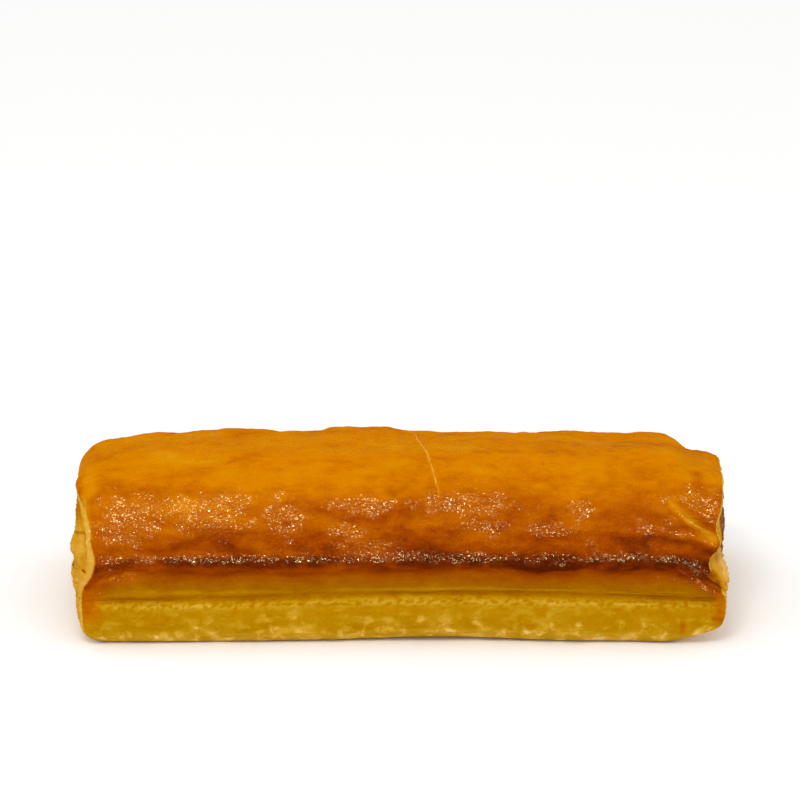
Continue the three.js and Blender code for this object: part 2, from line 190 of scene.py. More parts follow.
def outline_points():
    """The outline from the middle of the underside round the lip, the dome and the back."""

    def underside(y):
        return point(y, 0, end_form(5, 3.2), end_form(4, 2.8), 0, 0.55, 0.1)

    crease = FRONT + LIP_REACH
    front = [
        underside(MEAT_Y),
        underside(MEAT_Y - 15),
        point(FRONT + 4.4, 0, end_form(6.4, 1.7), end_form(12, 1.4), 0, 0.26, 0.05),
        point(FRONT + 1, 1.3, end_form(4.4, 2.1), end_form(10.6, 1.2), 0.1, 0.21, 0.05),
        point(FRONT, 4.3, end_form(3.2, 2.2), end_form(3.2, 1), 0.25, 0.33, 0.05),
        point(FRONT + 0.1, SEAM_HEIGHT - 1.5, end_form(3.0, 2.1), end_form(1.8, 0.7), 0.25, 0.37, 0.12),
        point(FRONT + SEAM_DEPTH, SEAM_HEIGHT, end_form(3.0, 1.7), end_form(2.0, 1.1), 0.15, 0.52, 0.05),
        point(FRONT + 0.5, SEAM_HEIGHT + 1.5, end_form(3.0, 2.1), end_form(2.1, 1.5), 0.25, 0.46, 0.05),
        point(FRONT + 1.7, LIP_HEIGHT - 2.2,
              end_form(3.1, 2.6, 0.8), end_form(2.6, 1.0, 0.8), 0.3, 0.56, 0.06),
        point(FRONT + 4.6, LIP_HEIGHT - 0.3,
              end_form(3.5, 2.8, 0.8), end_form(2.8, 0.4, 1), 0.3, 0.74, 0.35),
        point(crease - 1.6, LIP_HEIGHT + 0.5,
              end_form(4.9, 3.4, 0.8), end_form(4.6, 0.2, 1), 0.25, 0.95, 1),
        point(crease + 0.1, LIP_HEIGHT + 2.6,
              end_form(5.7, 4.5, 0.8), end_form(5.0, 0.3, 0.8), 0.3, 0.92, 1),
    ]
    dome = [dome_point(angle) for angle in DOME_BAKE]
    back = [
        point(BACK - 0.7, 6.2, end_form(5, 3.4, 1), end_form(4, 2.6, 1), 0.3, 0.36, 0.6),
        point(BACK - 3.2, 1.6, end_form(5, 3.4, 1), end_form(4, 2.8, 1), 0.1, 0.34, 0.2),
        point(BACK - 8.5, 0, end_form(5, 3.4), end_form(4, 3), 0, 0.5, 0.1),
    ]
    return np.array(front + dome + back)


def outline_columns():
    """Every property of the closed outline at each column, as arrays by name."""
    points = outline_points()
    s = np.arange(len(points) * COLUMNS_PER_POINT) / COLUMNS_PER_POINT
    i = np.floor(s).astype(int)
    t = (s - i)[:, None]
    a, b, c, d = (points[(i + k) % len(points)] for k in (-1, 0, 1, 2))
    values = b + 0.5 * t * (c - a + t * (2 * a - 5 * b + 4 * c - d + t * (3 * (b - c) + d - a)))
    cols = dict(zip(NAMES, values.T))
    cols["z"] = np.maximum(cols["z"], 0)
    y, z = cols["y"], cols["z"]
    dy, dz = np.roll(y, -1) - np.roll(y, 1), np.roll(z, -1) - np.roll(z, 1)
    span = np.hypot(dy, dz)
    cols["out_y"], cols["out_z"] = -dz / span, dy / span
    steps = np.hypot(y - np.roll(y, 1), z - np.roll(z, 1))
    cols["girth"] = np.cumsum(steps) - steps[0]
    cols["angle"] = np.degrees(np.arctan2(z - DOME_FOOT, DOME_Y - y))
    turned = np.arctan2(MEAT_Y - y, MEAT_Z - z) % (2 * math.pi)
    cols["right_inset"] += FOLD_NOTCH * bump(cols["angle"], FOLD_NOTCH_ANGLE, FOLD_NOTCH_REACH)
    cols["meat_angle"] = 0.6 * turned + 0.4 * 2 * math.pi * cols["girth"] / steps.sum()
    return cols


COLS = outline_columns()
SEAM_GIRTH = COLS["girth"][np.argmax(COLS["z"] >= SEAM_HEIGHT)]

# --- The baked sheet's own forms --------------------------------------------------------------
# Puckers and blisters of the dome: ridges (height above 0) or grooves between two places,
# each [x, dome angle], with their width; some puckers are narrower than in the CAD source
RIDGES = [
    ([-60, 12], [-46, 24], 2.2, 0.7),
    ([-46, 24], [-33, 28], 2.2, 0.6),
    ([-64, 30], [-50, 40], 4.0, 0.4),
    ([-47, 22], [-39, 34], 1.8, 0.35),
    ([-41, 16], [-28, 16], 1.5, 0.4),
    ([-29, 22], [-27, 36], 2.0, 0.6),
    ([-12, 18], [-6, 23], 1.5, 0.5),
    ([-3, 24], [3, 36], 1.6, 0.5),
    ([10, 24], [17, 36], 2.4, 0.6),
    ([25, 12], [38, 26], 2.4, 0.5),
    ([40, 28], [41, 40], 1.8, 0.5),
    ([-56, 103], [-52, 110], 6.0, -1.2),
    ([-40, 102], [-35, 108], 5.0, -0.9),
    ([-26, 102], [-24, 108], 5.0, 0.7),
    ([-14, 102], [-4, 106], 7.0, 1.5),
    ([0, 103], [5, 110], 5.0, -0.7),
    ([26, 102], [28, 108], 4.0, 0.4),
    ([30, 100], [58, 100], 13.0, -1.0),
    ([-44, 122], [-30, 130], 6.0, 0.5),
    ([-20, 124], [8, 136], 5.0, 0.7),
    ([28, 138], [44, 130], 4.0, 0.6),
    ([-58, 140], [-44, 150], 4.0, 0.7),
    ([20, 160], [34, 148], 3.5, 0.6),
    ([66, 120], [73, 146], 3.0, -1.2),
]
# The fold pressed in by the knife at the right end: lines through places [x, dome angle, height]
FOLDS = {
    "hollow": [[61.7, 38, -0.9], [65.4, 30.5, -1.8], [68.4, 25.5, -2.4], [73.5, 20, -2.2]],
    "brow": [[63.3, 41.5, 0.5], [66, 35.5, 0.9], [72, 25.5, 1.1]],
    "crest": [[58.5, 25, 0.8], [61, 23.5, 1.4], [67, 22, 2.0], [70.9, 18, 2.2], [74, 15, 2.0]],
}
FOLD_WIDTH = 2.1
MM_PER_DEGREE = 0.42

# Browner and paler places as [x, girth] from and to, with their width, browning and egg wash; two draw a
# painted shadow under the fold's crest and one a painted highlight along the left rim
MARKS_AND_PAINTED_LIGHT = [
    ([-70.5, 50], [-71.5, 41.5], 4.5, 0.62, 0.8),
    ([-66, 52], [-56, 52.2], 2.0, 0.84, 1.0),
    ([-70, 51.5], [-61, 50], 2.6, 0.72, 1.0),
    ([-68, 54], [-73, 49], 1.8, 0.82, 1.0),
    ([-72, 84], [-71, 72], 2.2, 0.38, 1.0),
    # painted highlight: a pale line along the skin's edge at the left end
    ([-72.4, 71], [-71, 61], 1.0, 0.30, 0.6),
    ([61.7, 69], [65.4, 65.4], 1.4, 0.40, 1.0),
    ([65.4, 65.4], [71, 60.8], 1.3, 0.28, 0.9),
    # painted shadow: a thin dark line under the fold's crest at the right end
    ([60, 60.2], [66, 59.6], 1.2, 0.84, 1.0),
    ([66, 59.6], [71.5, 57], 1.2, 0.86, 1.0),
    ([63, 54], [67.5, 50.6], 1.6, 0.88, 1.0),
    ([67.5, 50.6], [72.4, 46.5], 1.4, 0.76, 1.0),
    ([20, 53.8], [62, 53.8], 1.2, 0.96, 1.0),
    ([63.6, 38.2], [63.6, 36.2], 0.9, 0.60, 0.4),
    ([70.5, 39.6], [73, 39.0], 0.9, 0.66, 0.6),
    ([72, 46], [72, 41], 1.6, 0.56, 0.6),
    ([67.5, 79], [67.9, 73], 2.2, 0.68, 1.0),
    ([32.2, 80.6], [32.3, 80.6], 0.35, 1.0, 1.0),
]

# Where the egg wash dried to a hard gloss, as [x, girth] and the reach along and round
GLOSSY = [
    ([0, 56.3], 90, 1.15),
    ([0, 90.0], 90, 6.0),
    ([-57, 68.0], 15, 3.4),
    ([-40, 69.5], 6, 3.0),
    ([-62, 63.5], 8, 4.0),
    ([-44, 64.5], 10, 2.8),
    ([-27, 66.0], 4, 4.0),
    ([-9, 68.5], 7, 2.4),
    ([-12, 62.0], 6, 1.8),
    ([-8, 59.4], 9, 1.4),
    ([14, 69.2], 11, 3.0),
    ([19, 63.2], 6, 1.8),
    ([34, 62.5], 5, 1.6),
    ([40.5, 67.0], 2.4, 3.2),
    ([62, 61.8], 9, 2.6),
    ([68.5, 68.5], 6, 5.5),
    ([-65, 51.0], 7, 3.4),
    ([68, 51.0], 7, 3.4),
]
GLOSSY_STRENGTH = 1.4  # above 1, the middle of each place is evenly glossy

# Soft browner and paler areas, as [x, girth], the reach along and round, and the change in browning
AREAS = [
    ([0, 61.5], 32, 3.5, 0.05),
    ([46, 64.0], 28, 4.0, 0.09),
    ([-45, 60.0], 30, 1.6, 0.05),
    ([-42, 57.2], 34, 1.0, -0.12),
    ([-42, 53.4], 34, 1.2, -0.13),
    ([46, 57.6], 28, 1.6, -0.11),
    ([-67, 50.0], 9, 2.6, 0.08),
]

# Fine lines between the leaves at the front and ridges at the flap's corners, as [x, girth] from and
# to, with their width and height
LEAF_LINES = [
    ([40, 45.4], [66, 45.0], 0.35, -0.25),
    ([46, 44.3], [71, 43.8], 0.35, -0.35),
    ([50, 43.0], [72, 42.2], 0.30, -0.30),
    ([-30, 39.5], [10, 39.0], 0.30, -0.10),
    ([-66.2, 54.6], [-68, 51.6], 1.1, 0.35),
    ([-64, 53], [-66.4, 50.4], 1.1, 0.35),
    ([-62.5, 51.5], [-57.5, 52.4], 1.2, 0.35),
    ([-70, 48.2], [-66, 47.6], 0.8, 0.30),
    ([62.5, 54.6], [67, 51.2], 0.9, 0.45),
    ([67, 51.2], [71.2, 47.6], 0.9, 0.50),
]

# A crack across the browned top, as [x, dome angle]
CRACK = [[4.2, 92], [5.8, 75], [7.2, 58], [9.0, 42]]
CRACK_WIDTH = 0.45
CRACK_DEPTH = 0.18
CRACK_X = 5.55  # where the crack would meet the middle plane
CRACK_SLANT = 0.233  # how far it drifts to -X for each mm backwards


def near_line(start, stop, x, height, unit=1.0):
    """Distance in mm from a line on the skin, and the share of it at which it is nearest."""
    run = np.array([stop[0] - start[0], (stop[1] - start[1]) * unit])
    across, up = x - start[0], (height - start[1]) * unit
    share = np.clip((across * run[0] + up * run[1]) / (run @ run), 0, 1)
    return np.hypot(across - share * run[0], up - share * run[1]), share


def off_line(start, stop, x, height, unit=1.0):
    """Distance in mm from a line on the skin."""
    return near_line(start, stop, x, height, unit)[0]


def raised(lines, x, place, unit=1.0):
    """Height in mm of a list of ridges and grooves."""
    total = np.zeros(np.broadcast(x, place).shape)
    for start, stop, width, height in lines:
        total += height * np.exp(-2 * (off_line(start, stop, x, place, unit) / width) ** 2)
    return total


def folded(fold, x, angle):
    """Height in mm of a fold, taken from the piece of its line that is nearest."""
    nearest, height = np.inf, 0.0
    for start, stop in zip(fold[:-1], fold[1:]):
        away, share = near_line(start, stop, x, angle, MM_PER_DEGREE)
        height = np.where(away < nearest, mix(start[2], stop[2], share), height)
        nearest = np.minimum(away, nearest)
    return height * np.exp(-2 * (nearest / FOLD_WIDTH) ** 2)


def crack_at(x, angle):
    """How open the crack is, from 0 to 1."""
    lines = zip(CRACK[:-1], CRACK[1:])
    away = np.min([off_line(start, stop, x, angle, MM_PER_DEGREE) for start, stop in lines], axis=0)
    return np.exp(-((away / CRACK_WIDTH) ** 2))


def slump_at(x):
    """How far the top sinks at the right end."""
    high = smoothstep(45, 80, COLS["angle"]) * (1 - smoothstep(125, 160, COLS["angle"]))
    return high * (SLUMP_DEPTH * smoothstep(61.2, 67.6, x) + END_DROOP * smoothstep(64, 74, x))


def flap_sink_at(x):
    """How far the flap is pressed down at both ends."""
    y, z = COLS["y"], COLS["z"]
    ends = smoothstep(-61, -73, x) + RIGHT_FLAP_SHARE * smoothstep(60, 73, x)
    thickness = np.minimum(z, LIP_HEIGHT) - SEAM_HEIGHT
    sink = FLAP_SINK * ends * thickness * (1 - smoothstep(LIP_HEIGHT - 0.5, LIP_HEIGHT + 6, z))
    return np.where((y > DOME_Y) | (z < SEAM_HEIGHT), 0, sink)


def lip_rise_at(x):
    """How far the lip's foot and its seam arch up between the ends."""
    y, z = COLS["y"], COLS["z"]
    at_foot = smoothstep(FRONT + 8, FRONT + 3, y) * smoothstep(SEAM_HEIGHT, 1, z)
    foot = FOOT_LIFT * bump(x, LIP_MIDDLE, 20) * at_foot
    seam = SEAM_RISE * bump(x, SEAM_MIDDLE, 45) * bump(z, SEAM_HEIGHT, 2.6)
    return np.where(y > FRONT + LIP_REACH, 0, foot + seam)


def bow_at(x):
    """How far the front lies back between the ends."""
    return LIP_BOW * bump(x, LIP_MIDDLE, 44) * smoothstep(-12, FRONT + 6, COLS["y"])


def skin_points(x, tuck, fine=0.0):
    """Points of the skin at x, an array of rows by columns, tucked in towards the meat."""
    on_dome = COLS["z"] > LIP_HEIGHT + 1
    out = COLS["relief"] * (swell(x, COLS["girth"]) + PUCKER_SHARE * pucker(x, COLS["girth"])) + fine
    folds = sum(folded(fold, x, COLS["angle"]) for fold in FOLDS.values())
    out = out + np.where(on_dome, raised(RIDGES, x, COLS["angle"], MM_PER_DEGREE) + folds, 0)
    y = COLS["y"] + COLS["out_y"] * out + bow_at(x)
    z = COLS["z"] + COLS["out_z"] * out - slump_at(x) - flap_sink_at(x) + lip_rise_at(x)
    share = tuck / np.hypot(MEAT_Y - y, MEAT_Z - z)
    y, z = mix(y, MEAT_Y, share), np.maximum(mix(z, MEAT_Z, share), 0)
    return np.stack([np.broadcast_to(x, y.shape), y, z], axis=-1)


# --- The two ends -----------------------------------------------------------------------------
# The opening at each end: its size against the meat's, and how far in its mouth and throat lie
ENDS = {
    "left": {"sign": -1, "mouth": 0.74, "mouth_inset": 3.2, "throat": 6.6, "seed": 3},
    "right": {"sign": 1, "mouth": 1.0, "mouth_inset": 2.8, "throat": 4.2, "seed": 8},
}
CURL_RADIUS = 5
SLOPE_LENGTH = 24
CAP_LEAN = 0.7  # below 1, the cut edge swells most near the skin
JOIN_DEPTH = 0.9
JOIN_WIDTH = 1.2
# The gaps between the baked leaves of a cut end: [share from the skin to the mouth, depth in mm]
LEAF_GAPS = [[0.09, 0.5], [0.22, 1.1], [0.36, 0.5], [0.47, 0.9],
             [0.60, 0.6], [0.70, 1.0], [0.82, 0.5], [0.92, 0.8]]
LEAF_GAP_WIDTH = 0.022
# Deeper gaps behind the skin: [share, girth], their reach in share and in mm, and depth
WIDE_GAPS = {
    "left": [([0.055, 60.0], 0.014, 2.6, 1.0)],
    "right": [([0.14, 50.5], 0.06, 3.2, 3.0)],
}
CAP_WIDTH = 12  # about how wide a cut edge is, in mm
# Browner places on the cut edges, as [share, girth] from and to, with their width in mm and browning
CAP_MARKS = {
    "left": [([0.1, 68], [0.6, 68], 5.5, 0.5), ([0.07, 61.8], [0.5, 60.2], 0.6, 0.55),
             ([0.2, 64.8], [0.21, 64.9], 0.35, 1.0), ([0.07, 54.3], [0.08, 54.4], 0.35, 1.0)],
    "right": [([0.5, 48], [0.9, 52], 5, -0.02)],
}


def rim_x(side):
    """X of the rim, where the skin ends and the cut edge begins."""
    return ENDS[side]["sign"] * (HALF - COLS[side + "_inset"])


def tuck_at(side, distance):
    """How far the skin is drawn in towards the meat at a distance from the rim."""
    away = np.clip(1 - distance / CURL_RADIUS, 0, 1)
    slope = np.clip(1 - distance / SLOPE_LENGTH, 0, 1)
    curled = 1 - np.sqrt(1 - away * away)
    return COLS[side + "_curl"] * curled + COLS[side + "_slope"] * slope ** 1.6


def meat_outline(spare):
    """An ellipse, pushed a little out of shape by the sheet rolled round it."""
    angle = COLS["meat_angle"]
    dents = 0.5 * np.sin(2 * angle + 0.9) + 0.7 * np.sin(3 * angle + 2) + 0.4 * np.sin(5 * angle)
    spare = spare + MEAT_UNEVENNESS * dents
    return (MEAT_Y - (MEAT_WIDTH / 2 + spare) * np.sin(angle),
            MEAT_Z - (MEAT_HEIGHT / 2 + spare) * np.cos(angle))


def mouth_points(side, depth):
    """The ring round the meat, from the mouth at depth 0 to the throat at depth 1."""
    end = ENDS[side]
    y, z = meat_outline(MEAT_GAP)
    size = mix(end["mouth"], 1, depth)
    x = end["sign"] * (HALF - mix(end["mouth_inset"], end["throat"], depth))
    return np.stack([np.full(y.shape, x), mix(MEAT_Y, y, size), mix(MEAT_Z, z, size)], axis=-1)


def leaf_gap(share, seed):
    """How deep the gaps between the leaves are at a share of the way in, 0 on a leaf."""
    girth = COLS["girth"]
    ring = np.stack([girth / 9, np.full(girth.shape, share * 4), np.full(girth.shape, seed)], axis=-1)
    warped = share + 0.035 * fractal(ring, [1, 1, 1], 3, seed)
    depth = np.zeros(girth.shape)
    for k, (place, deep) in enumerate(LEAF_GAPS):
        open_ = 0.5 + 0.5 * np.sin(girth / (7 + 2 * k) + k * 1.9 + seed)
        depth = np.maximum(depth, deep * mix(0.35, 1, open_) * bump(warped, place, LEAF_GAP_WIDTH))
    return depth


def cap_shares():
    """How far each ring lies from the skin towards the mouth; they are closer near the skin."""
    return (np.arange(1, CAP_ROWS + 1) / CAP_ROWS) ** 1.5


def wide_gap(side, share):
    """How deep the wide gaps are at a share of the way in."""
    girth = COLS["girth"]
    return sum(deep * bump(share, at, reach) * bump(girth, round_, span)
               for (at, round_), reach, span, deep in WIDE_GAPS[side])


def cap_rings(side):
    """The pale cut edge of an end in rings from the skin's rim to the mouth, and how deep its gaps are."""
    end = ENDS[side]
    rim = skin_points(rim_x(side)[None, :], tuck_at(side, 0))[0]
    mouth = mouth_points(side, 0)
    rings, gaps = [], []
    for share in cap_shares():
        middle = math.sin(math.pi * share ** CAP_LEAN)
        open_ = np.clip(COLS[side + "_bulge"] / 2, 0.35, 1)
        gap = leaf_gap(share, end["seed"]) * min(1, 4 * middle) * open_ + wide_gap(side, share)
        wobble = 0.1 * swell(COLS["girth"] * 1.7, share * 20)
        swelling = COLS[side + "_bulge"] * (max(middle, 0) ** 0.7 + middle * wobble)
        join = JOIN_DEPTH * middle * bump(COLS["girth"], SEAM_GIRTH, JOIN_WIDTH)
        ring = mix(rim, mouth, share)
        ring[:, 0] += end["sign"] * (swelling - gap - join)
        ring[:, 2] = np.maximum(ring[:, 2], 0)
        rings.append(ring)
        gaps.append(gap)
    return np.array(rings), np.array(gaps)


def crumble(points, sign, amount):
    """Roughens the cut edge a little along the roll."""
    points[..., 0] += sign * amount * fractal(points, [1.1, 1.1, 0.7], 4, 5)
    return points


# --- Pastry mesh ------------------------------------------------------------------------------
def skin_x():
    """X of the skin's rows at each column; the rows are closer together near the ends."""
    share = np.linspace(0, 1, SKIN_ROWS + 1)[:, None]
    mixed = 0.35 * share + 0.65 * (0.5 - 0.5 * np.cos(math.pi * share))
    return mix(rim_x("left"), rim_x("right"), mixed)


# Unevenness finer than the CAD's: height in mm, the lumps' sizes in mm, octaves and seed
WRINKLES = [(0.32, [6, 3.5, 3.5], 3, 1), (0.07, [1.6, 1.1, 1.1], 2, 2)]
LAYERS = [(0.16, [16, 2.5, 1.2], 3, 3), (0.07, [1.5, 1.2, 1.0], 3, 4)]
CRUMBS = [(0.14, [0.9, 0.8, 0.7], 2, 6)]
MINCE = [(1.1, [1, 3.2, 2.8], 3, 31), (0.35, [1, 1.1, 1.0], 3, 32)]
CRUMBLE = 0.22  # how rough the cut edges are
LIP_BACK = -20  # the lip's seam lies in front of this Y
SEAM_FILL = 0.7  # how much shallower the seam is next to the left end


def uneven(places, scales):
    """Height in mm of one kind of unevenness."""
    return sum(height * fractal(places, sizes, octaves, seed) for height, sizes, octaves, seed in scales)


def fine_relief(places):
    """Relief finer than the CAD's, in mm outwards, for points of the skin."""
    x, z = places[..., 0], COLS["z"]
    upper = smoothstep(LIP_HEIGHT, LIP_HEIGHT + 3, z)
    lip = smoothstep(0.3, 2, z) * (1 - smoothstep(LIP_HEIGHT - 3, LIP_HEIGHT, z)) * (COLS["y"] < DOME_Y)
    relief = upper * uneven(places, WRINKLES) + lip * uneven(places, LAYERS)
    front = COLS["y"] < LIP_BACK
    crumbs = bump(z, SEAM_HEIGHT - 1.3, 1.2) * front * uneven(places, CRUMBS)
    closed = SEAM_FILL * bump(z, SEAM_HEIGHT, 1.1) * front * smoothstep(-64, -69, x)
    return relief + crumbs + closed + raised(LEAF_LINES, x, COLS["girth"])


def pastry_mesh():
    """Points of the closed pastry in rings, from throat to throat, and their marks by name."""
    x = skin_x()
    tuck = tuck_at("left", x - rim_x("left")) + tuck_at("right", rim_x("right") - x)
    coarse = skin_points(x, tuck)
    crack = crack_at(x, COLS["angle"]) * (COLS["z"] > LIP_HEIGHT + 1)
    skin = skin_points(x, tuck, fine_relief(coarse) - CRACK_DEPTH * crack)
    left, left_gaps = cap_rings("left")
    right, right_gaps = cap_rings("right")
    depths = np.arange(1, THROAT_ROWS + 1) / THROAT_ROWS
    throat = [np.array([mouth_points(side, depth) for depth in depths]) for side in ENDS]
    left_cut, right_cut = crumble(left, -1, CRUMBLE)[::-1], crumble(right, 1, CRUMBLE)
    parts = [throat[0][::-1], left_cut, skin, right_cut, throat[1]]
    bake, gloss = marked_with_painted_light(x, skin_bake(skin, crack), COLS["gloss"])
    # browning, with painted shade in the leaf gaps, a painted shadow under the fold and painted sheen
    # along the rims
    bakes_and_painted_light = [throat_bake(throat[0]), cap_bake_and_painted_light("left", left, left_gaps)[::-1], bake,
             cap_bake_and_painted_light("right", right, right_gaps), throat_bake(throat[1])]
    glosses = [np.zeros(part.shape[:2]) for part in parts]
    glosses[2] = gloss
    cuts = [np.full(part.shape[:2], float(part is not skin)) for part in parts]
    wets = [np.zeros(part.shape[:2]) for part in parts]
    wets[2] = wet_at(x)
    marks = {"bake": bakes_and_painted_light, "gloss": glosses, "cut": cuts, "wet": wets}
    return np.concatenate(parts), {name: np.concatenate(values) for name, values in marks.items()}


# Browning of the throat and of a cut edge's leaves, the paleness of the painted sheen along a cut edge's
# rim, and how much the leaves' tips differ
THROAT_BAKE = 0.3
RIM_PAINTED_SHEEN = 0.08
LEAF_BAKE = 0.24
LEAF_TIPS = 0.16
# How much each kind of mark changes the browning
STROKES = 0.055
MOTTLES = 0.03
LIP_MOTTLES = 0.05
BLOTCHES = 0.13
DROPLETS = 0.22
SEAM_PALENESS = 0.19
CRACK_PALENESS = 0.06
# painted shade in the gaps between the leaves of the cut ends
GAP_PAINTED_SHADE = 0.5


def throat_bake(points):
    return np.full(points.shape[:2], THROAT_BAKE)


def cap_bake_and_painted_light(side, points, gaps):
    """Browning of a cut end: pale leaves with golden tips, a painted sheen at the rim and painted shade in
    the gaps.
    """
    share = cap_shares()[:, None]
    tips = LEAF_BAKE + LEAF_TIPS * fractal(points, [3, 3, 2], 3, 11)
    for start, stop, width, to_bake in CAP_MARKS[side]:
        lines = [[place[0] * CAP_WIDTH, place[1]] for place in (start, stop)]
        away = off_line(*lines, share * CAP_WIDTH, COLS["girth"])
        tips = mix(tips, to_bake, np.exp(-2 * (away / width) ** 2))
    near_skin = 1 - smoothstep(0.025, 0.05, share)
    # painted sheen: the cut edge is made palest in a strip along the skin's rim
    tips = mix(tips, RIM_PAINTED_SHEEN, near_skin * 0.8)
    # painted shade: the gaps between the leaves are darkened by their depth
    return tips + GAP_PAINTED_SHADE * np.clip(gaps / 1.2, 0, 1) ** 2


def skin_bake(points, crack):
    """Browning of the skin: the outline's own, with brush strokes, mottles and paler blotches."""
    z = COLS["z"]
    front = COLS["y"] < DOME_Y
    base = np.broadcast_to(COLS["bake"], points.shape[:2]).copy()
    strokes = fractal(points, [14, 6, 5], 4, 21)
    mottles = fractal(points, [4, 3, 3], 3, 22)
    upper = smoothstep(LIP_HEIGHT, LIP_HEIGHT + 3, z)
    base += upper * (STROKES * strokes + MOTTLES * mottles)
    lip = (1 - smoothstep(LIP_HEIGHT - 2, LIP_HEIGHT, z)) * front
    blotches = smoothstep(0.0, 0.55, fractal(points, [3.8, 4, 2.4], 5, 23))
    low = lip * (1 - smoothstep(SEAM_HEIGHT - 3.5, SEAM_HEIGHT - 1.5, z))
    base += lip * LIP_MOTTLES * mottles - low * BLOTCHES * blotches
    rim = bump(z, SEAM_HEIGHT - 1.4, 0.9) * front
    droplets = smoothstep(-0.15, 0.4, fractal(points, [1.0, 1.0, 0.8], 2, 24))
    base += rim * (DROPLETS * droplets - SEAM_PALENESS)
    return base - CRACK_PALENESS * crack


def marked_with_painted_light(x, bake, gloss):
    """Browning changed by the areas, then browning and gloss drawn towards those of the marks, among which
    are a painted shadow and a painted highlight.
    """
    for (along, girth), reach, span, change in AREAS:
        bake = bake + change * bump(x, along, reach) * bump(COLS["girth"], girth, span)
    for start, stop, width, to_bake, to_gloss in MARKS_AND_PAINTED_LIGHT:
        share = np.exp(-2 * (off_line(start, stop, x, COLS["girth"]) / width) ** 2)
        bake, gloss = mix(bake, to_bake, share), mix(gloss, to_gloss, share)
    return bake, gloss


def wet_at(x):
    """How hard and glossy the egg wash is, from 0 to 1."""
    spots = [bump(x, along, reach) * bump(COLS["girth"], girth, span)
             for (along, girth), reach, span in GLOSSY]
    return np.clip(GLOSSY_STRENGTH * np.max(spots, axis=0), 0, 1)


# --- Meshes into Blender ----------------------------------------------------------------------
def shift_to_frame(pastry):
    """What moves the shape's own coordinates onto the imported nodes, in mm."""
    low, high = (np.array(corner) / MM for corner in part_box("pastry"))
    meat_low, meat_high = (np.array(corner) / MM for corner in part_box("filling"))
    x = (low[0] + high[0]) / 2 - (pastry[..., 0].min() + pastry[..., 0].max()) / 2
    meat_y, meat_z = meat_outline(0)
    y = (meat_low[1] + meat_high[1]) / 2 - (meat_y.min() + meat_y.max()) / 2
    return np.array([x, y, meat_low[2] - meat_z.min()])


def grid_faces(rings, width, closed):
    """Quads between neighbouring rings of width points; closed joins the last ring to the first."""
    i, j = np.meshgrid(np.arange(rings if closed else rings - 1), np.arange(width), indexing="ij")
    here, there = i * width, (i + 1) % rings * width
    after = (j + 1) % width
    return np.stack([here + j, there + j, there + after, here + after], axis=-1).reshape(-1, 4)


def make_mesh(name, vertices, quads, fans=(), marks=None):
    mesh = bpy.data.meshes.new(name)
    faces = quads.tolist() + [list(f) for f in fans]
    mesh.from_pydata((vertices * MM).tolist(), [], faces)
    for mark, values in (marks or {}).items():
        attribute = mesh.attributes.new(mark, "FLOAT", "POINT")
        attribute.data.foreach_set("value", values.astype(np.float32).ravel())
    mesh.shade_smooth()
    mesh.validate()
    piece = bpy.data.objects.new(name, mesh)
    bpy.context.scene.collection.objects.link(piece)
    return piece


def make_pastry():
    grid, marks = pastry_mesh()
    shift = shift_to_frame(grid)
    quads = grid_faces(grid.shape[0], grid.shape[1], closed=True)
    vertices = grid.reshape(-1, 3) + shift
    vertices[:, 2] = np.maximum(vertices[:, 2], 0)
    return make_mesh("baked_pastry", vertices, quads, marks=marks), shift


MEAT_LEFT_INSET = 5
MEAT_RIGHT_INSET = 1.1  # 0.9 in the CAD source
MEAT_CROWN = 1.8
LUMP_LIMIT = 0.55  # the highest that a lump of the mince stands out
MINCE_X = 40.0  # where along the roll the unevenness of the two cut faces is read


def meat_cap(side, inset):
    """Rings of a cut end of the meat, from its middle out to its edge, coarse with minced lumps."""
    sign = ENDS[side]["sign"]
    edge_y, edge_z = meat_outline(0)
    share = (np.arange(MEAT_CAP_ROWS) + 0.35)[:, None] / (MEAT_CAP_ROWS - 0.65)
    y, z = mix(MEAT_Y, edge_y, share), mix(MEAT_Z, edge_z, share)
    crown = MEAT_CROWN * np.sqrt(np.maximum(1 - share ** 3, 0))
    flat = np.stack([np.full(y.shape, MINCE_X * sign), y, z], axis=-1)
    rough = np.minimum(uneven(flat, MINCE), LUMP_LIMIT) * (1 - share ** 8)
    x = sign * (HALF - inset - MEAT_CROWN + crown + rough)
    return np.stack([x, y, z], axis=-1)


def make_meat(shift):
    left, right = meat_cap("left", MEAT_LEFT_INSET), meat_cap("right", MEAT_RIGHT_INSET)[::-1]
    shares = np.linspace(0, 1, MEAT_SIDE_ROWS + 2)[1:-1, None, None]
    side = mix(left[-1], right[0], shares)
    grid = np.concatenate([left, side, right])
    rings, width = grid.shape[:2]
    vertices = grid.reshape(-1, 3)
    hubs = np.array([grid[0].mean(0), grid[-1].mean(0)])
    first, last = len(vertices), len(vertices) + 1
    fans = [(j, (j + 1) % width, first) for j in range(width)]
    base = (rings - 1) * width
    fans += [(base + (j + 1) % width, base + j, last) for j in range(width)]
    quads = grid_faces(rings, width, closed=False)
    return make_mesh("minced_meat", np.concatenate([vertices, hubs]) + shift, quads, fans)


# --- Materials --------------------------------------------------------------------------------
def srgb(red, green, blue):
    """A linear colour from 8-bit display values."""
    channels = [c / 255 for c in (red, green, blue)]
    return tuple(c / 12.92 if c <= 0.04045 else ((c + 0.055) / 1.055) ** 2.4 for c in channels) + (1.0,)


def map_range(tree, value, low, high, to_low, to_high):
    """Spreads a value over a new range; each number may be a socket instead."""
    node = tree.nodes.new("ShaderNodeMapRange")
    for socket, given in zip(node.inputs, (value, low, high, to_low, to_high)):
        if isinstance(given, bpy.types.NodeSocket):
            tree.links.new(given, socket)
        else:
            socket.default_value = given
    return node.outputs["Result"]


